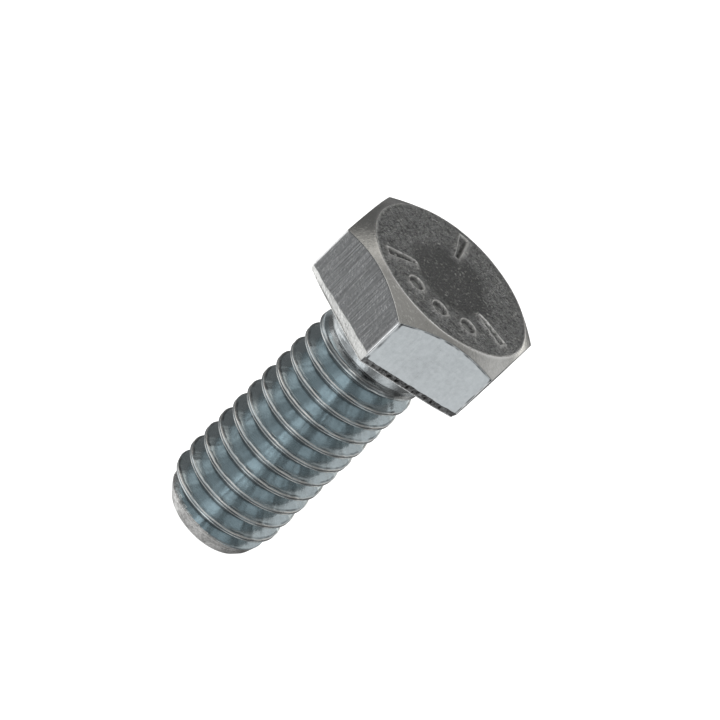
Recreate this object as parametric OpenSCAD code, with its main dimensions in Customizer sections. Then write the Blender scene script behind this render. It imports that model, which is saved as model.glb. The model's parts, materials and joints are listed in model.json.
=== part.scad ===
// Hex cap screw, 5/16 in - 18 UNC, nominally 3/4 in long, fully threaded, cold forged from one
// piece of steel.
// Units are millimetres. +Z runs along the axis towards the top of the head, and the origin is the
// centre of the bearing face, the underside of the head.
// The forging is split at its natural features, which meet face to face.

/* [Head] */
// Width across the flats
across_flats = 12.57; // [12.43:0.01:12.7]
// Height from the bearing face to the top of the head
head_height = 4.95; // [4.95:0.01:5.36]
// Diameter of the flat top, inside the chamfer
crown_d = 11.9; // [11.5:0.1:12.4]
// Angle of the chamfer below the flat top
crown_angle = 35; // [25:1:40]
// Diameter of the raised bearing face under the head
bearing_d = 11.4; // [11.4:0.1:12.4]
// Height of the raised bearing face
bearing_rise = 0.28; // [0.2:0.01:0.6]

/* [Crown] */
// Diameter of the shallow dish in the crown
dish_d = 6.3; // [4:0.1:7]
// Depth of the dish at its centre
dish_depth = 0.15; // [0.05:0.01:0.3]
// Number of radial strength marks
mark_count = 3; // [3:1:6]
// Radius at which a mark begins
mark_inner_r = 2.9; // [2.4:0.1:3.4]
// Radius at which a mark ends
mark_outer_r = 5.2; // [4.6:0.1:5.4]
// Width of a mark
mark_width = 0.5; // [0.3:0.05:0.8]
// Depth of a mark
mark_depth = 0.2; // [0.1:0.05:0.3]
// Direction of the first mark, anticlockwise from +X
mark_bearing = 105; // [0:1:360]

/* [Shank] */
// Length from the bearing face to the point
shank_length = 18.7; // [12:0.1:40]
// Diameter of the smooth neck, the size of the blank before rolling
neck_d = 7.1; // [7:0.05:7.5]
// Length of the neck, its fillet included
neck_length = 1.6; // [1.2:0.1:3]
// Radius of the fillet that runs from the neck to the bearing face
fillet_r = 0.4; // [0.38:0.01:0.6]
// Diameter of the end face
point_d = 5.5; // [5:0.1:6]
// Length of the bare point below the last turn
point_length = 0.8; // [0.5:0.1:1.2]

/* [Thread] */
// Outside diameter of the thread
major_d = 7.77; // [7.69:0.01:7.91]
// Diameter at the root of the thread
minor_d = 6.15; // [6.1:0.05:6.3]
// Distance from one crest to the next: 18 turns to the inch
pitch = 1.411; // [1.411:0.001:1.411]
// Width of the flat on the crest
crest_width = 0.2; // [0.1:0.01:0.25]
// Angle between the two sides of the thread
thread_angle = 60; // [55:1:60]
// Height at which the crest helix, carried on up, crosses the +X side
crest_height = -0.67; // [-1.41:0.01:0]
// Height over which the crest rises out of the neck
run_out_height = 0.85; // [0.5:0.05:1.4]
// Height over which the crest slopes in to the point
lead_height = 1.3; // [0.8:0.1:2]

/* [Quality] */
// Steps in one turn of the thread
turn_steps = 40; // [24:2:48]

/* [Hidden] */
$fn = 96;
// A little more than a cut needs, so that no two faces coincide
overcut = 0.1;
// Least height of the thread ridge, where it dies away at each end
least_ridge = 0.04;

major_r = major_d / 2;
minor_r = minor_d / 2;
thread_depth = major_r - minor_r;
crown_r = crown_d / 2;
neck_r = neck_d / 2;
// Radius of the prism's corners, with a margin so that the chamfer cone clears them
reach = across_flats * 0.6;
dish_sphere_r = (pow(dish_d / 2, 2) + pow(dish_depth, 2)) / (2 * dish_depth);
core_bottom = -(shank_length - point_length);

// The crest's middle line starts and ends where the ridge has almost no height left
thread_bottom = core_bottom + crest_width / 2 + least_ridge;
thread_top = -neck_length - crest_width / 2 - least_ridge;
first_turn = (thread_bottom - crest_height) / pitch;
turn_count = (thread_top - thread_bottom) / pitch;
step_count = ceil(turn_count * turn_steps);

// Height of the ridge above the root where its crest lies at height z
function ridge(z) = max(least_ridge, thread_depth * min(
    1,
    (z - core_bottom) / lead_height,
    (-neck_length - z) / run_out_height
));

// Half the width of the ridge where it meets the root
function half_base(h) = crest_width / 2 + h * tan(thread_angle / 2);

// A point on the shank from its radius, direction and height
function place(r, a, z) = [r * cos(a), r * sin(a), z];

// The four corners of the ridge, a given number of turns along the helix
function ridge_section(turns) = let (
    a = 360 * turns,
    z = crest_height + pitch * turns,
    h = ridge(z)
) [
    place(minor_r, a, z - half_base(h)),
    place(minor_r + h, a, z - crest_width / 2),
    place(minor_r + h, a, z + crest_width / 2),
    place(minor_r, a, z + half_base(h))
];

// The hexagonal prism, chamfered at the top and open to the dish and the strength marks
module hex_head() color("slategray") difference() {
    intersection() {
        translate([0, 0, bearing_rise])
            rotate([0, 0, 30])
                cylinder(d = across_flats / cos(30), h = head_height - bearing_rise, $fn = 6);
        rotate_extrude()
            polygon([
                [0, 0],
                [reach, 0],
                [reach, head_height - (reach - crown_r) * tan(crown_angle)],
                [crown_r, head_height],
                [0, head_height]
            ]);
    }
    translate([0, 0, head_height - dish_depth + dish_sphere_r])
        sphere(r = dish_sphere_r);
    for (i = [0 : mark_count - 1])
        rotate([0, 0, mark_bearing + 360 * i / mark_count])
            translate([mark_inner_r, -mark_width / 2, head_height - mark_depth])
                cube([mark_outer_r - mark_inner_r, mark_width, mark_depth + overcut]);
}

// The raised ring that the joint bears on, outside the neck's fillet
module washer_face() color("lightslategray") difference() {
    cylinder(d = bearing_d, h = bearing_rise);
    translate([0, 0, -overcut])
        cylinder(r = neck_r + fillet_r, h = bearing_rise + 2 * overcut);
}

// The unrolled neck, with the fillet that joins it to the bearing face
module neck() color("gray") difference() {
    translate([0, 0, -neck_length])
        cylinder(r = neck_r + fillet_r, h = neck_length + bearing_rise);
    rotate_extrude()
        difference() {
            translate([neck_r, -neck_length - overcut])
                square([fillet_r + overcut, neck_length + overcut]);
            translate([neck_r, -fillet_r])
                difference() {
                    square(fillet_r + overcut);
                    translate([fillet_r, 0])
                        circle(r = fillet_r);
                }
        }
}

// The solid core under the thread, at root diameter
module shank_core() color("cadetblue")
    translate([0, 0, core_bottom])
        cylinder(r = minor_r, h = -neck_length - core_bottom);

// The right-hand helical ridge, which slopes in at the point and dies away at the neck
module thread() color("lightsteelblue") polyhedron(
    points = [
        for (i = [0 : step_count])
            each ridge_section(first_turn + turn_count * i / step_count)
    ],
    faces = [
        [3, 2, 1, 0],
        for (i = [0 : step_count - 1])
            for (j = [0 : 3])
                [4 * i + j, 4 * i + (j + 1) % 4, 4 * i + 4 + (j + 1) % 4, 4 * i + 4 + j],
        [for (j = [0 : 3]) 4 * step_count + j]
    ],
    convexity = 20
);

// The bare tapered end below the last turn
module point() color("silver")
    translate([0, 0, -shank_length])
        cylinder(r1 = point_d / 2, r2 = minor_r, h = point_length);

hex_head();
washer_face();
neck();
shank_core();
thread();
point();
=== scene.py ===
"""The looks of a 5/16 in - 18 hex cap screw: forged head, bearing ring and rolled shank, all zinc plated.

Lengths are in millimetres while a mesh is worked out, and in metres once it is a Blender mesh.
"""
import json
import math
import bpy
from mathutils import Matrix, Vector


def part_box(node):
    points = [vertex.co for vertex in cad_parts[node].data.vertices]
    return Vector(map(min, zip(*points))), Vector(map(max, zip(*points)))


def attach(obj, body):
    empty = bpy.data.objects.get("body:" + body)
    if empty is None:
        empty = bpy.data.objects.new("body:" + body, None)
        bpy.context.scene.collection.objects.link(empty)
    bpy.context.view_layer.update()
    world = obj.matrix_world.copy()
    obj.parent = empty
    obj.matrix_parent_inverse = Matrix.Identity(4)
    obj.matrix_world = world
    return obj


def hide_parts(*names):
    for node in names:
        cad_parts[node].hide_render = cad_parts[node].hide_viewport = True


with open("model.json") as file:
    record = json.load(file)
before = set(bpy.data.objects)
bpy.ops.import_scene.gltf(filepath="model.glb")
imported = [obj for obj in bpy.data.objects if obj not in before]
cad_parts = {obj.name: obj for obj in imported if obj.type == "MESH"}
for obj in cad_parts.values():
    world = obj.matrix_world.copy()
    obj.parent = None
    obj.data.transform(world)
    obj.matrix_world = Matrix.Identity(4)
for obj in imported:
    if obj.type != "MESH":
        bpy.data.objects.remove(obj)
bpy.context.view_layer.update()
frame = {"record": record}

from types import SimpleNamespace

import bmesh
import bpy
import numpy as np
from mathutils import Matrix, Vector

MM = 0.001
TAU = 2 * math.pi

# ---------------------------------------------------------------- sizes, from the frame
head_low, head_high = (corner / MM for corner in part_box("hex_head"))
ring_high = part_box("washer_face")[1] / MM
neck_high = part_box("neck")[1] / MM
point_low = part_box("point")[0] / MM
thread_mount = next(m for m in frame["record"]["mounts"] if m["name"] == "thread")

flat_radius = (head_high.x - head_low.x) / 2
head_top = head_high.z
head_under = head_low.z
bearing_radius = ring_high.x
fillet_outer = neck_high.x
crest_radius = thread_mount["dims"]["r_mm"]
tip = point_low.z

# Sizes that the boxes don't give
CROWN_RADIUS = 5.94
CHAMFER_ANGLE = math.radians(35)
FILLET_RADIUS = 0.4
NECK_RADIUS = fillet_outer - FILLET_RADIUS
POINT_RADIUS = 2.87
POINT_OFFSET = 0.15
PITCH = 25.4 / 18
CREST_HALF = 0.12
FLANK_SLOPE = math.tan(math.radians(30))
THREAD_DEPTH = 0.98
# Height at which the helix of the crest passes +X
CREST_HEIGHT = -0.67


# ---------------------------------------------------------------- numbers and noise
def smooth(x, low, high):
    """0 below low, 1 above high, and a smooth step between."""
    t = np.clip((x - low) / (high - low), 0, 1)
    return t * t * (3 - 2 * t)


def soft_min(a, b, k):
    """The lesser of a and b, blended over about k where they meet."""
    return -k * np.logaddexp(-a / k, -b / k)


def soft_max(a, b, k):
    """The greater of a and b, blended over about k where they meet."""
    return k * np.logaddexp(a / k, b / k)


def bump(x, centre, width):
    """A smooth bump of height 1."""
    return np.exp(-(((x - centre) / width) ** 2))


def lattice(ix, iy, iz, seed):
    """A fixed pseudo-random number from 0 to 1 at each integer point."""
    h = (ix * 374761393 + iy * 668265263 + iz * 2147483647 + seed * 974711) & 0xFFFFFFFF
    h = ((h ^ (h >> 13)) * 1274126177) & 0xFFFFFFFF
    h = ((h ^ (h >> 16)) * 2246822519) & 0xFFFFFFFF
    return ((h ^ (h >> 15)) & 0xFFFFFF) / 0xFFFFFF


def value_noise(x, y, z, size, seed):
    """Smooth noise from -1 to 1 with features of about the given size."""
    x, y, z = np.broadcast_arrays(x / size, y / size, z / size)
    ix, iy, iz = (np.floor(c).astype(np.int64) for c in (x, y, z))
    fx, fy, fz = (c - i for c, i in ((x, ix), (y, iy), (z, iz)))
    fx, fy, fz = (f * f * (3 - 2 * f) for f in (fx, fy, fz))
    total = np.zeros_like(fx)
    for dx in (0, 1):
        for dy in (0, 1):
            for dz in (0, 1):
                weight = np.abs(1 - dx - fx) * np.abs(1 - dy - fy) * np.abs(1 - dz - fz)
                total = total + weight * lattice(ix + dx, iy + dy, iz + dz, seed)
    return total * 2 - 1


def fractal(x, y, z, size, seed, octaves=3):
    """Noise with finer detail added on."""
    total = 0
    for k in range(octaves):
        total = total + value_noise(x, y, z, size / 2 ** k, seed + k) / 2 ** k
    return total / 1.75


# ---------------------------------------------------------------- meshes
def make_object(name, verts, faces, regions, rubbed_and_highlit, painted_shade):
    """A mesh from points in mm, with a material number per face, and per point its rubbed brightness with
    painted highlight and its painted shade.
    """
    mesh = bpy.data.meshes.new(name)
    mesh.from_pydata((np.asarray(verts) * MM).tolist(), [], faces)
    mesh.polygons.foreach_set("material_index", regions)
    for label, values in (("rubbed_and_highlit", rubbed_and_highlit), ("painted_shade", painted_shade)):
        layer = mesh.attributes.new(label, "FLOAT", "POINT")
        layer.data.foreach_set("value", np.clip(values, 0, 1).astype(np.float32))
    mesh.update()
    mesh.shade_smooth()
    obj = bpy.data.objects.new(name, mesh)
    bpy.context.scene.collection.objects.link(obj)
    return obj


def ring_quads(a, b, columns):
    """Quads between the ring of points that starts at a and the one that starts at b."""
    i = np.arange(columns)
    nxt = (i + 1) % columns
    return np.stack([a + i, a + nxt, b + nxt, b + i], 1).tolist()


def per_column(a, r, z):
    """An outline point given for every direction in a."""
    return np.array([np.broadcast_to(r, a.shape), np.broadcast_to(z, a.shape)], float)


ROUND_STEPS = 4
LARGEST_CUT = 0.45


def rounded(points, cuts, steps, crowding):
    """Follows a polyline with its corners rounded; gives each sample and the number of the line it is on.

    Each line has its number of steps, and a crowding that draws them towards its start where it is over 1.
    A corner's cut is a length along both its lines, and at most LARGEST_CUT of the shorter one.
    """
    out = [(points[0], 0)]
    for k in range(1, len(points) - 1):
        before, here, after = points[k - 1], points[k], points[k + 1]
        len_a = np.linalg.norm(here - before, axis=0)
        len_b = np.linalg.norm(after - here, axis=0)
        cut = np.minimum(cuts[k], np.minimum(len_a, len_b) * LARGEST_CUT)
        start = here + (before - here) * (cut / len_a)
        end = here + (after - here) * (cut / len_b)
        line_from = out[-1][0]
        for t in np.linspace(0, 1, steps[k - 1] + 1)[1:] ** crowding[k - 1]:
            out.append((line_from + (start - line_from) * t, k - 1))
        for t in np.linspace(0, 1, ROUND_STEPS + 1)[1:]:
            on_curve = start * (1 - t) ** 2 + here * 2 * t * (1 - t) + end * t * t
            out.append((on_curve, k if t > 0.5 else k - 1))
    line_from = out[-1][0]
    for t in np.linspace(0, 1, steps[-1] + 1)[1:] ** crowding[-1]:
        out.append((line_from + (points[-1] - line_from) * t, len(points) - 2))
    return out


# ---------------------------------------------------------------- the head
SIDES = 6
HEAD_COLUMNS = 960
CORNER_CROWDING = 0.6
CORNER_SHARPNESS = 190
CROWN_OFFSET = 0.1
HEAD_LEAN = math.radians(0.3)
# Radius of the small polygon that closes the crown and the underside at the axis
AXIS_GAP = 0.02

# The shallow dish in the crown, and the burr round the crown's rim
DISH_RADIUS = 3.3
DISH_OFFSET = 0.35
DISH_DEPTH = 0.15
BURR_HEIGHT = 0.045
BURR_GROOVE = 0.02
RIM_WEAR = 0.085
CROWN_ROUGHNESS = 0.014

# Three strength marks that widen outwards, and three plain pips
MARK_DIRECTIONS = [math.radians(d) for d in (105, 225, 347)]
MARK_INNER = 2.77
MARK_OUTER = 5.2
MARK_HALF = 0.14
MARK_FLARE = 0.16
MARK_DEPTH = 0.26
PIP_DIRECTIONS = [math.radians(d) for d in (-105.7, -76.4, -44.6)]
PIP_PLACE = 4.05
PIP_RADIUS = 0.54
PIP_DEPTH = 0.2
RECESS_WALL = 0.12

# The metal that stamping pushes up round a mark, and how bright it is rubbed
SWELL = 0.07
SMEAR = 0.22
SMEAR_REACH = 0.5

# The torn band along the foot of each flat: level on a smooth flat, and slanted on a brushed one
TEAR_HEIGHT = 0.5
SLANT_START = 0.4
SLANT_RISE = 0.42
TEAR_WAVE = 0.06
TEAR_IN = 0.03
TEAR_IN_CORNER = 0.06
TEAR_IN_SIDE = 0.12
TEAR_PROUD = 0.01
PIT_DEPTH = 0.14
BRUSHED_PIT_DEPTH = 0.03
HEM_RIDGE = 0.03

# Lines on the flats: fine brushing, and a scored line near the edges of a smooth one
BRUSH_DEPTH = 0.003
SCORE_DEPTH = 0.02

# The outline's lines, from the centre of the crown to the centre of the underside
CROWN, CHAMFER, FLAT, TEAR, UNDER = range(5)
LINE_STEPS = [200, 22, 70, 24, 8]
LINE_CROWDING = [1, 1, 1.6, 1, 1]
OUTLINE_CUTS = [0, 0.08, 0.05, 0.05, 0.09]
HEAD_FINISHES = ["crown", "chamfer", "smooth_flat", "brushed_shaded_flat", "pitted_shaded_tear", "highlit_tear", "under"]
# Each line's finish on a smooth side and on a brushed one
LINE_FINISHES = {
    CROWN: ("crown", "crown"),
    CHAMFER: ("chamfer", "chamfer"),
    FLAT: ("smooth_flat", "brushed_shaded_flat"),
    TEAR: ("pitted_shaded_tear", "highlit_tear"),
    UNDER: ("under", "under"),
}


def hexagon(a):
    """Radius of the hexagon in direction a, with its corners a little rounded."""
    total = 0
    for k in range(SIDES):
        total = total + np.maximum(np.cos(a - k * TAU / SIDES), 0.01) ** CORNER_SHARPNESS
    return flat_radius / total ** (1 / CORNER_SHARPNESS)


def wedge(x, y, direction):
    """How far inside a strength mark a point is: positive within it."""
    along = x * math.cos(direction) + y * math.sin(direction)
    across = np.abs(-x * math.sin(direction) + y * math.cos(direction))
    t = np.clip((along - MARK_INNER) / (MARK_OUTER - MARK_INNER), 0, 1)
    return np.minimum(MARK_HALF + MARK_FLARE * t - across, np.minimum(along - MARK_INNER, MARK_OUTER - along))


def stamped(inside, depth, wall):
    """A steep-walled recess: its height, its lip rubbed bright and given a painted highlight, and the painted
    shade at the foot of its walls.
    """
    lip = bump(inside, -0.6 * wall, 0.6 * wall)
    height = 0.25 * depth * lip - depth * smooth(inside, -0.2 * wall, wall)
    return height, bump(inside, -0.3 * wall, 0.55 * wall), bump(inside, 0.9 * wall, 0.5 * wall)


def crown_surface(x, y, edge):
    """Height, rubbed brightness with painted highlight, and painted shade of the crown, edge being how far
    inside its rim a point is.
    """
    r = np.hypot(x, y - DISH_OFFSET)
    dish = 1 - smooth(r + 0.3 * value_noise(x, y, 0, 1.1, 5), 0.6 * DISH_RADIUS, 1.1 * DISH_RADIUS)
    z = -DISH_DEPTH * dish
    rubbed_and_highlit = np.zeros_like(r)
    # Painted shade in the dished centre
    shaded_share = smooth(dish, 0.1, 0.75)
    recesses = [(wedge(x, y, direction), MARK_DEPTH) for direction in MARK_DIRECTIONS]
    for direction in PIP_DIRECTIONS:
        gap = np.hypot(x - PIP_PLACE * math.cos(direction), y - PIP_PLACE * math.sin(direction))
        recesses.append((PIP_RADIUS - gap, PIP_DEPTH))
    for inside, depth in recesses:
        height, rubbed_lips_and_highlight, foot = stamped(inside, depth, RECESS_WALL)
        smear = smooth(inside, -SMEAR_REACH, 0)
        z = z + height + SWELL * smear
        # The lips and walls are rubbed bright and also carry a painted highlight
        rubbed_and_highlit = np.maximum(rubbed_and_highlit, np.maximum(rubbed_lips_and_highlight, SMEAR * smear))
        # Painted shade at the foot of each recess wall; the smear round a mark lightens the dish's painted
        # shade
        shaded_share = np.maximum(shaded_share * (1 - 0.7 * smear), foot)
    burr = np.clip(0.5 + 0.9 * value_noise(x, y, 0, 2.6, 9), 0, 1)
    z = z + burr * (BURR_HEIGHT * bump(edge, 0.06, 0.055) - BURR_GROOVE * bump(edge, 0.24, 0.06))
    z = z + CROWN_ROUGHNESS * fractal(x, y, 0, 0.9, 3) + CROWN_ROUGHNESS * fractal(x, y, 0, 0.16, 7, 2)
    # Painted shade in the groove just inside the burr at the rim
    return z, rubbed_and_highlit, np.maximum(shaded_share, 0.8 * burr * bump(edge, 0.23, 0.055))


def head_shape():
    """What changes round the head, given for each column; the columns crowd towards the corners."""
    t = np.arange(HEAD_COLUMNS) * TAU / HEAD_COLUMNS
    a = t + CORNER_CROWDING * np.sin(SIDES * t) / SIDES
    ca, sa = np.cos(a), np.sin(a)
    side = np.round(a / (TAU / SIDES))
    across = a / (TAU / SIDES) - side + 0.5
    brushed = side % 2 == 0
    outer = hexagon(a)
    crown = CROWN_RADIUS + CROWN_OFFSET * ca + 0.03 * value_noise(3 * ca, 3 * sa, 0, 1.0, 11)
    torn = np.where(brushed, SLANT_START + SLANT_RISE * across, TEAR_HEIGHT)
    return SimpleNamespace(
        a=a,
        ca=ca,
        sa=sa,
        brushed=brushed,
        outer=outer,
        crown=crown,
        shoulder=head_top - (outer - crown) * math.tan(CHAMFER_ANGLE),
        corner=smooth(outer, flat_radius * 1.03, flat_radius * 1.15),
        torn_top=torn + TEAR_WAVE * fractal(6 * ca, 6 * sa, 0, 0.5, 12),
        scuffed=np.clip(0.5 + 1.1 * fractal(6 * ca, 6 * sa, 0, 0.3, 14), 0, 1) * ~brushed,
        corner_line=np.maximum(bump(across, 0.022, 0.008), bump(across, 0.99, 0.006)) * ~brushed,
    )


def head_rings(shape):
    """The outline of the head, carried round it."""
    torn_in = TEAR_IN + shape.corner * (TEAR_IN_CORNER + TEAR_IN_SIDE * shape.ca ** 2)
    points = [
        per_column(shape.a, AXIS_GAP, head_top),
        per_column(shape.a, shape.crown, head_top),
        per_column(shape.a, shape.outer, shape.shoulder),
        per_column(shape.a, shape.outer, head_under + shape.torn_top),
        per_column(shape.a, shape.outer - torn_in, head_under),
        per_column(shape.a, AXIS_GAP, head_under),
    ]
    return rounded(points, OUTLINE_CUTS, LINE_STEPS, LINE_CROWDING)


def forged_ring(shape, r, z, line):
    """Points, rubbed brightness with painted highlight, and painted shade of one ring of the head, with all
    that forging and trimming leave on it.
    """
    x, y = r * shape.ca, r * shape.sa
    height, rubbed_lips_and_highlight, shaded_share = crown_surface(x, y, shape.crown - r)
    on_crown = (z > head_top - 0.04) * (1 - smooth(r, shape.crown - 0.06, shape.crown))
    torn_top = head_under + shape.torn_top
    torn = smooth(z, head_under + 0.06, head_under + 0.14) * (1 - smooth(z, torn_top - 0.06, torn_top))
    chips = fractal(x, y, z * 0.7, 0.13, 21)
    pit_depth = np.where(shape.brushed, BRUSHED_PIT_DEPTH, PIT_DEPTH)
    pits = np.maximum(0.12 - chips, 0) * pit_depth * torn * (1 - 0.7 * shape.corner)
    brush = BRUSH_DEPTH * value_noise(x, y, z * 0.06, 0.08, 31) * shape.brushed * (line == FLAT)
    top_line = shape.scuffed * bump(z, shape.shoulder - 0.07, 0.035)
    side_line = shape.corner_line * np.clip(0.7 + 1.1 * value_noise(x, y, z, 0.4, 17), 0, 1)
    score = SCORE_DEPTH * (side_line + top_line) * (line == FLAT)
    ridge = HEM_RIDGE * bump(z, head_under + 0.07, 0.05) * (line == TEAR)
    out = 1 + (brush - pits - score + ridge + TEAR_PROUD * torn) / np.maximum(r, 1)
    level = z + height * on_crown
    lean = math.sin(HEAD_LEAN)
    points = np.stack([x * out + level * lean, y * out, level - x * lean], 1)
    rim = bump(r, shape.crown, RIM_WEAR) * (z > head_top - 0.12)
    rim = rim + bump(shape.outer, shape.outer.max(), 0.035) * (line == FLAT)
    # The hem at the foot of the torn band is rubbed bright and carries a painted highlight
    hem = (line >= TEAR) * (1 - smooth(z, head_under + 0.08, head_under + 0.15))
    rubbed_and_highlit = np.maximum(np.maximum(rubbed_lips_and_highlight * on_crown, rim), hem)
    # Painted shade in the torn band's pits and along the scored lines, together with the crown's
    painted_shade = np.maximum(np.maximum(shaded_share * on_crown, smooth(pits, 0.012, 0.06)), score / SCORE_DEPTH)
    return points, rubbed_and_highlit, painted_shade


def build_head():
    """Crown, chamfer, six flats with the torn band that trimming leaves, and the underside."""
    shape = head_shape()
    rings = head_rings(shape)
    verts, rubbed_and_highlit, painted_shade = zip(*(forged_ring(shape, r, z, line) for (r, z), line in rings))
    last = (len(rings) - 1) * HEAD_COLUMNS
    faces, regions = [], []
    for j, (_, line) in enumerate(rings[1:]):
        quads = ring_quads(j * HEAD_COLUMNS, (j + 1) * HEAD_COLUMNS, HEAD_COLUMNS)
        faces += [quad[::-1] for quad in quads]
        plain, brushed = (HEAD_FINISHES.index(finish) for finish in LINE_FINISHES[line])
        regions += np.where(shape.brushed, brushed, plain).tolist()
    faces.append(list(range(HEAD_COLUMNS)))
    faces.append(list(range(last, last + HEAD_COLUMNS))[::-1])
    regions += [HEAD_FINISHES.index("crown"), HEAD_FINISHES.index("under")]
    return make_object("forged_head", np.concatenate(verts), faces, regions,
                       np.concatenate(rubbed_and_highlit), np.concatenate(painted_shade))


RING_COLUMNS = 240
RING_SUNK = 0.02
RING_OVERLAP = 0.05
RING_DRAFT = 0.03


def build_ring():
    """The raised bearing face, a flat ring with a rounded outer edge."""
    a = np.arange(RING_COLUMNS) * TAU / RING_COLUMNS
    top = head_under + RING_SUNK
    inner = fillet_outer - RING_OVERLAP
    edge = bearing_radius + 0.02 * value_noise(4 * np.cos(a), 4 * np.sin(a), 0, 1.0, 41)
    points = [
        per_column(a, inner, top),
        per_column(a, edge, top),
        per_column(a, edge - RING_DRAFT, 0),
        per_column(a, inner, 0),
    ]
    rings = [sample for sample, _ in rounded(points, [0, 0.01, 0.09], [6, 8, 20], [1, 1, 1])]
    verts = np.concatenate([np.stack([r * np.cos(a), r * np.sin(a), z], 1) for r, z in rings])
    rubbed_and_highlit = np.concatenate([bump(r, bearing_radius, 0.06) for r, z in rings])
    faces = []
    for j in range(len(rings)):
        here = j * RING_COLUMNS
        after = (j + 1) % len(rings) * RING_COLUMNS
        faces += [quad[::-1] for quad in ring_quads(here, after, RING_COLUMNS)]
    return make_object("bearing_ring", verts, faces, [0] * len(faces), rubbed_and_highlit, 0 * rubbed_and_highlit)


# ---------------------------------------------------------------- the rolled shank
TURN_COLUMNS = 480
PITCH_ROWS = 44
CREST_CROWDING = 0.75
SHANK_TOP = head_under + 0.15
LIP_HEIGHT = 0.026
# The groove of the thread begins over the first two heights, at the point, and ends over the others
THREAD_START = (tip + 0.45, tip + 1.15)
THREAD_END = (-1.5, -1.1)

# The outside of the blank above and below its middle, as pairs of height and radius
SHANK_MIDDLE = -8
NECK_TAPER = ((-3.3, crest_radius), (-2.6, 3.79), (-1.9, 3.66), (-1.5, NECK_RADIUS))
POINT_TAPER = ((tip, POINT_RADIUS), (tip + 0.55, 3.27), (tip + 1.35, 3.64), (tip + 2.2, crest_radius))
# The neck sinks away under the thread between these depths under the bearing face
NECK_FOOT = (1.84, 2.3)
NECK_SINK = 0.8

# The level end: where the climbing form is cut, and rings from there inward, as pairs of the share of its
# radius and the height over the tip
END_HEIGHT = 0.06
END_RINGS = ((0.985, 0.02), (0.955, 0), (0.9, 0), (0.8, 0.03), (0.6, 0.09), (0.3, 0.12), (0.05, 0.12))

# Painted shade in the run-out groove, on one side
RUN_OUT_SHADE_DIRECTION = math.radians(-62)
RUN_OUT_SHADE_HEIGHT = -2.05

SHANK_FINISHES = ["neck", "thread", "point"]
# The neck's finish ends at this height, and the point's this far over the tip
NECK_END = -2.25
POINT_TOP = 1.1


def thread_form(up, along):
    """The form of the thread at a height up from its crest, and a length along it in turns.

    Gives the depth of the groove, the relief of the rolled crest, how bright its crest is rubbed, and how
    much shade is painted into its seam, fold, undercut and root.
    """
    # The crest's two edges are ragged and broken in different places
    edge = np.where(up > -0.01, 1, -1)
    ragged = value_noise(70 * along, edge, 0, 1.0, 51)
    broken = np.clip(0.55 + 1.1 * fractal(40 * along, edge, 0, 1.0, 61, 2), 0, 1)
    depth = np.maximum(np.abs(up) - CREST_HALF - 0.012 * ragged, 0) / FLANK_SLOPE
    depth = np.maximum(soft_min(depth, THREAD_DEPTH, 0.03), 0)
    upper_lip = bump(up, 0.11 + 0.02 * ragged, 0.036)
    lower_lip = bump(up, -0.11 + 0.015 * ragged, 0.02)
    seam = (0.7 + 0.3 * broken) * bump(up, 0.012 * ragged, 0.05)
    fold = broken * bump(up, 0.18 + 0.02 * ragged, 0.022)
    undercut = (0.5 + 0.5 * broken) * bump(up, -0.175 + 0.02 * ragged, 0.035)
    relief = LIP_HEIGHT * upper_lip + 0.012 * lower_lip - 0.02 * seam - 0.03 * fold - 0.03 * undercut
    land = 0.4 * smooth(-np.abs(up), -0.15, -0.11)
    bright = np.maximum(np.maximum(upper_lip, 0.7 * lower_lip), land) * (0.4 + 0.8 * broken)
    root = 0.5 * smooth(np.abs(up), 0.58, 0.68)
    # Painted shade in the crest's seam and fold, under its lower lip and in the root of the groove
    return depth, relief, bright, np.clip(0.85 * seam + fold + undercut + root, 0, 1)


def blank_radius(ca, sa, z):
    """Outside of the blank that the thread is rolled on: its neck, its full size and its tapered point."""
    neck = np.interp(z, *zip(*NECK_TAPER))
    point = np.interp(z, *zip(*POINT_TAPER))
    point = point + POINT_OFFSET * ca * (1 - smooth(z, tip + 0.3, tip + 1.5))
    return np.where(z > SHANK_MIDDLE, neck, point) + 0.01 * fractal(ca * 3, sa * 3, z, 0.5, 57)


def shank_surface(a, z):
    """Radius, rubbed brightness and painted shade of the shank in direction a at height z."""
    turns = a / TAU
    ca, sa = np.cos(a), np.sin(a)
    phase = (z - CREST_HEIGHT) / PITCH - turns
    up = (phase - np.round(phase)) * PITCH
    depth, relief, bright, dark = thread_form(up, np.round(phase) + turns)
    groove_z = CREST_HEIGHT + PITCH * (np.floor(phase) + 0.5 + turns)
    strength = smooth(groove_z, *THREAD_START) * (1 - smooth(groove_z, *THREAD_END))
    strength = strength * (1 - 0.55 * bump(groove_z, -2.0, 0.2))
    wavy = 0.016 * fractal(4 * ca, 4 * sa, 1.4 * z, 1.0, 71, 2)
    r = crest_radius - depth * strength
    r = r + strength * (relief + wavy) - LIP_HEIGHT
    r = soft_min(r, blank_radius(ca, sa, z), 0.015)
    r = soft_max(r, NECK_RADIUS - NECK_SINK * smooth(-z, *NECK_FOOT), 0.02)
    into_fillet = np.clip(z + FILLET_RADIUS, 0, FILLET_RADIUS)
    r = r + FILLET_RADIUS - np.sqrt(np.maximum(FILLET_RADIUS ** 2 - into_fillet ** 2, 0))
    threaded = strength * smooth(-z, 1.8, 2.3) * smooth(z, tip + 0.6, tip + 1.2)
    # Painted shade, mottled, in the run-out groove on one side
    patch = bump(z, RUN_OUT_SHADE_HEIGHT, 0.22) * smooth(np.cos(a - RUN_OUT_SHADE_DIRECTION), 0.55, 0.98)
    scale = patch * np.clip(0.7 + 0.8 * value_noise(6 * ca, 6 * sa, 6 * z, 0.7, 81), 0, 1)
    painted_shade = np.maximum(threaded * dark, scale)
    return r, threaded * bright * (1 - painted_shade), painted_shade


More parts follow.
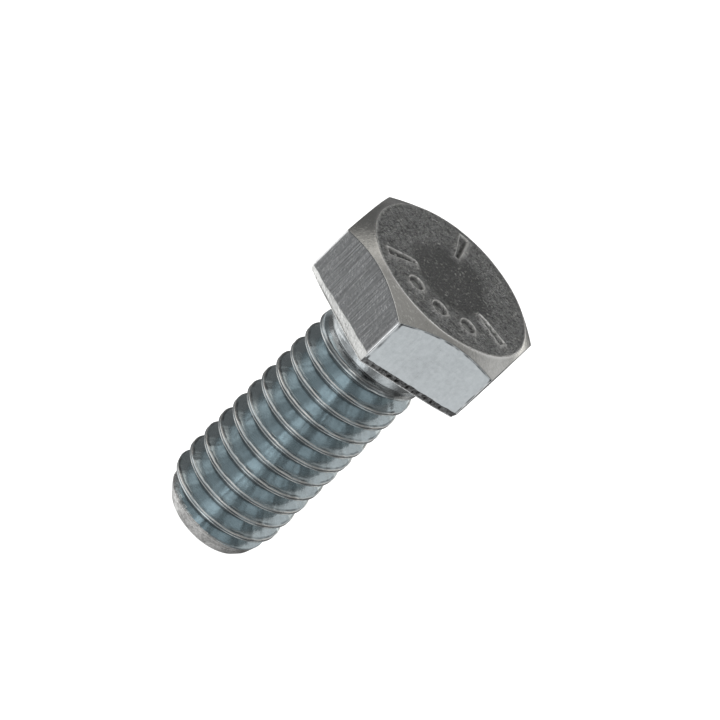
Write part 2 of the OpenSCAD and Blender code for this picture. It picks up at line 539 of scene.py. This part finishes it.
def build_shank():
    """One closed form whose rows climb with the thread, cut level at both ends."""
    t = np.arange(PITCH_ROWS) / PITCH_ROWS
    spread = t - CREST_CROWDING * np.sin(TAU * t) / TAU
    first = math.floor((tip - CREST_HEIGHT) / PITCH) - 2
    last = math.ceil((SHANK_TOP - CREST_HEIGHT) / PITCH) + 1
    levels = np.concatenate([k + spread for k in range(first, last)])
    rows = len(levels)
    a = np.arange(TURN_COLUMNS) * TAU / TURN_COLUMNS
    z = CREST_HEIGHT + PITCH * (levels[:, None] + a[None, :] / TAU)
    a = np.broadcast_to(a[None, :], z.shape)
    r, rubbed_and_highlit, painted_shade = shank_surface(a, z)
    verts = np.stack([r * np.cos(a), r * np.sin(a), z], 2).reshape(-1, 3)
    faces = []
    i = np.arange(TURN_COLUMNS - 1)
    for j in range(rows - 1):
        here = j * TURN_COLUMNS
        up = here + TURN_COLUMNS
        faces += np.stack([here + i, here + i + 1, up + i + 1, up + i], 1).tolist()
        if j + PITCH_ROWS + 1 < rows:
            over = (j + PITCH_ROWS) * TURN_COLUMNS
            faces.append([here + TURN_COLUMNS - 1, over, over + TURN_COLUMNS, up + TURN_COLUMNS - 1])
    heights = verts[[face[0] for face in faces], 2]
    neck, thread, point = range(len(SHANK_FINISHES))
    regions = np.where(heights > NECK_END, neck, np.where(heights < tip + POINT_TOP, point, thread))
    obj = make_object("rolled_shank", verts, faces, regions.tolist(), rubbed_and_highlit.reshape(-1), painted_shade.reshape(-1))
    cut_ends(obj)
    return obj


def cut_ends(obj):
    """Cuts the open climbing form level at both ends and closes it, with a shallow hollow in the tip."""
    bm = bmesh.new()
    bm.from_mesh(obj.data)
    for height, outward in ((tip + END_HEIGHT, -1), (SHANK_TOP, 1)):
        geometry = bm.verts[:] + bm.edges[:] + bm.faces[:]
        bmesh.ops.bisect_plane(bm, geom=geometry, dist=1e-9, plane_co=(0, 0, height * MM),
                               plane_no=(0, 0, outward), clear_outer=True)
    loose = [v for v in bm.verts if not v.link_faces]
    bmesh.ops.delete(bm, geom=loose, context="VERTS")
    close_end(bm, tip + END_HEIGHT, [(share, tip + rise) for share, rise in END_RINGS])
    close_end(bm, SHANK_TOP, [])
    bm.normal_update()
    bmesh.ops.recalc_face_normals(bm, faces=bm.faces[:])
    bm.to_mesh(obj.data)
    bm.free()
    obj.data.shade_smooth()


def close_end(bm, height, steps):
    """Carries the open rim at a height inward, in steps of a scale and a level, and fills the last ring."""
    edges = [e for e in bm.edges if e.is_boundary and abs(e.verts[0].co.z - height * MM) < 1e-6]
    beside = edges[0].link_faces[0]
    rim = sorted({v for e in edges for v in e.verts}, key=lambda v: math.atan2(v.co.y, v.co.x))
    ring = rim
    for scale, level in steps:
        inner = [bm.verts.new((v.co.x * scale, v.co.y * scale, level * MM), v) for v in rim]
        for i in range(len(rim)):
            bm.faces.new((ring[i - 1], ring[i], inner[i], inner[i - 1]), beside)
        ring = inner
    bm.faces.new(ring, beside)


# ---------------------------------------------------------------- materials
def add_node(tree, kind, settings, inputs):
    """Adds a shader node, sets its options, and links or sets its inputs."""
    made = tree.nodes.new("ShaderNode" + kind)
    for name, value in settings.items():
        setattr(made, name, value)
    for name, value in inputs.items():
        if isinstance(value, bpy.types.NodeSocket):
            tree.links.new(value, made.inputs[name])
        else:
            made.inputs[name].default_value = value
    return made


def ramp(tree, value, low, high, to_low=0.0, to_high=1.0):
    """Carries a value from one range onto another and holds it there."""
    inputs = {"Value": value, "From Min": low, "From Max": high, "To Min": to_low, "To Max": to_high}
    return add_node(tree, "MapRange", {}, inputs).outputs["Result"]


def math_node(tree, operation, a, b=0.0):
    """The result of a Math node."""
    return add_node(tree, "Math", {"operation": operation}, {0: a, 1: b}).outputs["Value"]


def blend(tree, factor, a, b):
    """A colour between a and b."""
    mix = add_node(tree, "Mix", {"data_type": "RGBA"}, {"Factor": factor, 6: a, 7: b})
    return mix.outputs[2]


def noise(tree, where, size, stretch=(1, 1, 1), detail=2.0, twist=0.0):
    """Noise with features of about the given size in mm, drawn out where stretch is above 1."""
    scale = tuple(1 / (MM * size * s) for s in stretch)
    placed = add_node(tree, "VectorMath", {"operation": "MULTIPLY"}, {0: where, 1: scale}).outputs["Vector"]
    inputs = {"Vector": placed, "Scale": 1.0, "Detail": detail, "Distortion": twist}
    return add_node(tree, "TexNoise", {}, inputs).outputs["Fac"]


BRUSH_SIZE = 0.11
BRUSH_PATCH = 2.5
BRUSH_RELIEF = 0.6
HAIR_SIZE = 0.45
HAIR_PATCH = 0.22
HAIR_COLOUR = (0.85, 0.85, 0.83, 1)


def hair_lines(tree, where, strength):
    """Fine bright scratches: the contours of a noise, kept in some places only."""
    contour = noise(tree, where, HAIR_SIZE, detail=1.0, twist=1.5)
    off_contour = math_node(tree, "ABSOLUTE", math_node(tree, "SUBTRACT", contour, 0.5))
    line = ramp(tree, off_contour, 0.02, 0.07, 1, 0)
    some = ramp(tree, noise(tree, where, HAIR_PATCH), 0.53, 0.6)
    return math_node(tree, "MULTIPLY", math_node(tree, "MULTIPLY", line, some), strength)


def zinc(name, metal, shade=0.78, rough=0.25, rough_spread=0.08, blotch=1.2, grain=0.12, grain_depth=0.01,
         streaks=0.0, stretch=(1, 1, 25), nicks=0.0, sharp=0.2, rubbed_and_highlit_colour=(0.8, 0.8, 0.78), rubbed_and_highlit_rough=0.2,
         shaded_share=0.3):
    """Zinc plate: mottled, grained and scratched, brighter where the mesh is rubbed and where highlights are
    painted on it, and darker where shade is painted into its pits, creases and hollows.

    metal is the colour, and shade its dark patches' share of it. rough is the roughness, and rough_spread how
    far it goes either way. blotch and grain are sizes, and grain_depth is the grain's depth, all in mm. sharp
    is half the range of noise over which dark turns to light. streaks says how strongly brush lines show, and
    stretch which way they run; nicks says how strongly bright hair lines show. The last three are the colour
    and roughness of rubbed metal, which also paint highlights, and what is left of the colour where shade is
    painted into pits, creases and hollows.
    """
    mat = bpy.data.materials.new(name)
    mat.use_nodes = True
    tree = mat.node_tree
    where = add_node(tree, "TexCoord", {}, {}).outputs["Object"]
    rubbed_and_highlit = add_node(tree, "Attribute", {"attribute_name": "rubbed_and_highlit"}, {}).outputs["Fac"]
    painted_shade = add_node(tree, "Attribute", {"attribute_name": "painted_shade"}, {}).outputs["Fac"]
    patches = noise(tree, where, blotch, detail=3.0, twist=0.4)
    speckle = noise(tree, where, grain)
    lines = noise(tree, where, BRUSH_SIZE, stretch, detail=3.0)
    hair = hair_lines(tree, where, nicks)

    tone = math_node(tree, "ADD", ramp(tree, patches, 0.5 - sharp, 0.5 + sharp, 0, 0.5),
                     ramp(tree, speckle, 0.5 - sharp, 0.5 + sharp, 0, 0.5))
    line_tone = math_node(tree, "MULTIPLY", ramp(tree, lines, 0.3, 0.7, -streaks, streaks),
                          ramp(tree, noise(tree, where, BRUSH_PATCH), 0.4, 0.6, 0.3, 1.0))
    tone = math_node(tree, "ADD", tone, line_tone)
    colour = blend(tree, tone, (*(shade * c for c in metal), 1), (*metal, 1))
    # Bright metal where the mesh is rubbed, and painted highlights on the marks' lips and walls and on the
    # torn band's hem
    colour = blend(tree, rubbed_and_highlit, colour, (*rubbed_and_highlit_colour, 1))
    # Painted shade in pits, creases, recesses, the dished crown and the run-out groove
    colour = blend(tree, painted_shade, colour, (*(shaded_share * c for c in metal), 1))
    colour = blend(tree, hair, colour, HAIR_COLOUR)

    gloss = ramp(tree, tone, 0, 1, rough + rough_spread, rough - rough_spread)
    plain_share = math_node(tree, "SUBTRACT", 1.0, rubbed_and_highlit)
    gloss = math_node(tree, "ADD", math_node(tree, "MULTIPLY", gloss, plain_share),
                      math_node(tree, "MULTIPLY", rubbed_and_highlit, rubbed_and_highlit_rough))

    height = math_node(tree, "ADD", speckle, math_node(tree, "MULTIPLY", lines, BRUSH_RELIEF * streaks))
    height = math_node(tree, "ADD", height, hair)
    relief = add_node(tree, "Bump", {}, {"Height": height, "Strength": 1.0, "Distance": grain_depth * MM})

    shader = tree.nodes["Principled BSDF"]
    shader.inputs["Metallic"].default_value = 1.0
    tree.links.new(colour, shader.inputs["Base Color"])
    tree.links.new(gloss, shader.inputs["Roughness"])
    tree.links.new(relief.outputs["Normal"], shader.inputs["Normal"])
    return mat


NEUTRAL = (0.62, 0.625, 0.62)
SILVER = (0.95, 0.95, 0.95)
AROUND = (5, 5, 1)
FINISHES = {
    "crown": dict(
        metal=(0.47, 0.475, 0.475), shade=0.25, rough=0.34, blotch=0.35, grain=0.13, grain_depth=0.1,
        # The crown's bright rubbed colour also paints highlights on the marks' lips and walls
        nicks=0.6, sharp=0.13, rubbed_and_highlit_colour=(0.88, 0.88, 0.86), rubbed_and_highlit_rough=0.3, shaded_share=0.36),
    "chamfer": dict(
        metal=(0.62, 0.62, 0.60), shade=0.8, rough=0.22, blotch=0.9, grain=0.15, grain_depth=0.012,
        nicks=0.25),
    "smooth_flat": dict(
        metal=(0.585, 0.61, 0.62), shade=0.92, rough=0.22, blotch=2.0, grain=0.3, grain_depth=0.004,
        streaks=0.15, nicks=0.1, rubbed_and_highlit_colour=SILVER, shaded_share=0.2),
    # The brushed flats' darker metal is partly painted shade, on top of their brushing
    "brushed_shaded_flat": dict(
        metal=(0.375, 0.38, 0.385), shade=0.64, rough=0.3, blotch=1.3, grain=0.15, grain_depth=0.012,
        streaks=1.1, nicks=0.2, rubbed_and_highlit_colour=SILVER),
    # The torn band is one metal in two copies: darkened as painted shade under the smooth flats, and whitened
    # as a painted highlight under the brushed ones
    "pitted_shaded_tear": dict(
        metal=(0.33, 0.33, 0.33), shade=0.3, rough=0.4, blotch=0.3, grain=0.14, grain_depth=0.06,
        sharp=0.12, rubbed_and_highlit_colour=SILVER, shaded_share=0.1),
    "highlit_tear": dict(
        metal=(0.96, 0.96, 0.94), shade=0.82, rough=0.4, blotch=0.3, grain=0.12, grain_depth=0.03,
        shaded_share=0.7),
    "under": dict(
        metal=NEUTRAL, rough=0.35, blotch=0.8, grain=0.15, grain_depth=0.02, rubbed_and_highlit_colour=(0.9, 0.9, 0.9)),
    "ring": dict(
        metal=NEUTRAL, rough=0.3, blotch=1.0, grain=0.12, grain_depth=0.015),
    "neck": dict(
        metal=(0.58, 0.61, 0.62), shade=0.75, rough=0.22, blotch=0.7, grain=0.15, grain_depth=0.012,
        streaks=0.5, stretch=AROUND, rubbed_and_highlit_colour=(0.8, 0.79, 0.77), shaded_share=0.2),
    "thread": dict(
        metal=(0.54, 0.62, 0.65), shade=0.82, rough=0.23, rough_spread=0.04, blotch=0.7, grain=0.14,
        grain_depth=0.008, streaks=0.25, stretch=AROUND, nicks=0.12, rubbed_and_highlit_colour=(0.86, 0.83, 0.79), shaded_share=0.12),
    "point": dict(
        metal=(0.85, 0.85, 0.835), shade=0.38, rough=0.32, blotch=0.8, grain=0.14, grain_depth=0.03,
        streaks=0.4, stretch=AROUND, nicks=0.3, sharp=0.13),
}


# ---------------------------------------------------------------- camera, floor and light
CAMERA_DISTANCE = 346.5
CAMERA_LENS = 282.5
SENSOR = 36
CLIP_NEAR = 0.01
CLIP_FAR = 10
VIEW_TILT = math.radians(62.43)
VIEW_TURN = math.radians(1.79)
VIEW_ROLL = math.radians(44.25)
AIM = Vector((0, 0, -4.95))
AIM_SHIFT = (0.854, 1.185)


def add_camera():
    """Looks down on the head, VIEW_TILT from the screw's axis, with the axis leaning to the right.

    AIM_SHIFT carries the point that it looks at away from AIM, to the right and up in the picture.
    """
    turn = Matrix.Rotation(VIEW_TURN, 3, "Z")
    towards = turn @ Vector((0, -math.sin(VIEW_TILT), math.cos(VIEW_TILT)))
    upright = turn @ Vector((0, math.cos(VIEW_TILT), math.sin(VIEW_TILT)))
    across = turn @ Vector((1, 0, 0))
    right = across * math.sin(VIEW_ROLL) + upright * math.cos(VIEW_ROLL)
    up = -across * math.cos(VIEW_ROLL) + upright * math.sin(VIEW_ROLL)
    place = AIM + towards * CAMERA_DISTANCE
    sight = (AIM + right * AIM_SHIFT[0] + up * AIM_SHIFT[1] - place).normalized()
    right = sight.cross(up).normalized()
    up = right.cross(sight)
    data = bpy.data.cameras.new("camera")
    data.lens = CAMERA_LENS
    data.sensor_width = SENSOR
    data.clip_start = CLIP_NEAR
    data.clip_end = CLIP_FAR
    camera = bpy.data.objects.new("camera", data)
    camera.matrix_world = Matrix.Translation(place * MM) @ Matrix((right, up, -sight)).transposed().to_4x4()
    bpy.context.scene.collection.objects.link(camera)
    bpy.context.scene.camera = camera


FLOOR_REACH = 3.0
FLOOR_COLOUR = (0.85, 0.85, 0.85, 1)
FLOOR_GLOW = 0.97


def add_floor():
    """A pale floor that stays evenly white and leaves the reflections to the studio."""
    mesh = bpy.data.meshes.new("floor")
    corners = [(-FLOOR_REACH, -FLOOR_REACH, 0), (FLOOR_REACH, -FLOOR_REACH, 0),
               (FLOOR_REACH, FLOOR_REACH, 0), (-FLOOR_REACH, FLOOR_REACH, 0)]
    mesh.from_pydata(corners, [], [(0, 1, 2, 3)])
    floor = bpy.data.objects.new("floor", mesh)
    floor.location.z = tip * MM
    floor.visible_glossy = False
    bpy.context.scene.collection.objects.link(floor)
    mat = bpy.data.materials.new("floor")
    mat.use_nodes = True
    shader = mat.node_tree.nodes["Principled BSDF"]
    shader.inputs["Base Color"].default_value = FLOOR_COLOUR
    shader.inputs["Emission Color"].default_value = (1, 1, 1, 1)
    shader.inputs["Emission Strength"].default_value = FLOOR_GLOW
    mesh.materials.append(mat)


COOL = (0.97, 1.0, 1.02)
PLAIN = (1.0, 1.0, 1.0)
WARM = (1.03, 1.0, 0.95)
STUDIO_BASE = 0.15
# A light is full within the first and gone past the second of these shares of its half width and half height
LIGHT_CORE = 0.25
LIGHT_EDGE = 1.6
# Soft lights round the screw: azimuth, elevation, half width and half height in degrees, strength, tint
SOFT_LIGHTS = (
    (-92, -31, 12, 26, 1.04, COOL),
    (-114, -30, 34, 26, 0.40, COOL),
    (-28, -28, 20, 20, 0.72, COOL),
    (-184, -30, 20, 22, 1.12, PLAIN),
    (130, -50, 22, 16, 0.75, PLAIN),
    (-158, -48, 16, 14, 0.60, PLAIN),
    (46, 32, 24, 22, 0.55, PLAIN),
    (69, 5, 12, 9, 1.20, WARM),
    (22, -11, 12, 9, 0.60, WARM),
    (44, -11, 26, 8, 0.50, PLAIN),
    (133, -11, 22, 8, 0.55, PLAIN),
    (152, 47, 11, 11, 0.65, WARM),
    (90, 60, 16, 11, 1.00, PLAIN),
    (-122, 50, 40, 17, 0.95, PLAIN),
    (-90, 84, 45, 32, 0.22, WARM),
    (-90, -88, 38, 32, 0.48, PLAIN),
)


def add_studio():
    """A dim room with soft lights in it; the camera itself sees plain white."""
    world = bpy.data.worlds.new("studio")
    bpy.context.scene.world = world
    world.use_nodes = True
    tree = world.node_tree
    tree.nodes.clear()
    where = add_node(tree, "TexCoord", {}, {}).outputs["Generated"]
    total = (STUDIO_BASE,) * 3
    for azimuth, elevation, width, height, strength, tint in SOFT_LIGHTS:
        a, e = math.radians(azimuth), math.radians(elevation)
        centre = (math.cos(a) * math.cos(e), math.sin(a) * math.cos(e), math.sin(e))
        size = (1.0, math.radians(width), math.radians(height))
        placed = add_node(tree, "Mapping", {"vector_type": "TEXTURE"},
                          {"Vector": where, "Location": centre, "Rotation": (0, -e, a), "Scale": size})
        apart = add_node(tree, "VectorMath", {"operation": "LENGTH"}, {0: placed.outputs["Vector"]})
        fall = add_node(tree, "MapRange", {"interpolation_type": "SMOOTHSTEP"},
                        {"Value": apart.outputs["Value"], "From Min": LIGHT_CORE, "From Max": LIGHT_EDGE,
                         "To Min": 1.0, "To Max": 0.0})
        lit = add_node(tree, "VectorMath", {"operation": "MULTIPLY"},
                       {0: fall.outputs["Result"], 1: tuple(strength * c for c in tint)})
        total = add_node(tree, "VectorMath", {"operation": "ADD"}, {0: total, 1: lit.outputs["Vector"]})
        total = total.outputs["Vector"]
    studio = add_node(tree, "Background", {}, {"Color": total})
    white = add_node(tree, "Background", {}, {"Color": (1, 1, 1, 1)})
    rays = add_node(tree, "LightPath", {}, {})
    choose = add_node(tree, "MixShader", {},
                      {"Fac": rays.outputs["Is Camera Ray"],
                       1: studio.outputs["Background"], 2: white.outputs["Background"]})
    add_node(tree, "OutputWorld", {}, {"Surface": choose.outputs["Shader"]})


# ---------------------------------------------------------------- putting it together
def place(piece, nodes, slot, finishes):
    """Ties a piece to the body it rides on, hides the nodes it stands for and gives it its materials."""
    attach(piece, "root")
    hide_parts(*nodes)
    for finish in finishes:
        piece.data.materials.append(zinc(finish + "_zinc", **FINISHES[finish]))


place(build_head(), ["hex_head"], "head_zinc", HEAD_FINISHES)
place(build_ring(), ["washer_face"], "head_zinc", ["ring"])
place(build_shank(), ["neck", "shank_core", "thread", "point"], "thread_zinc", SHANK_FINISHES)
add_camera()
add_floor()
add_studio()
bpy.context.scene.view_settings.view_transform = "Standard"
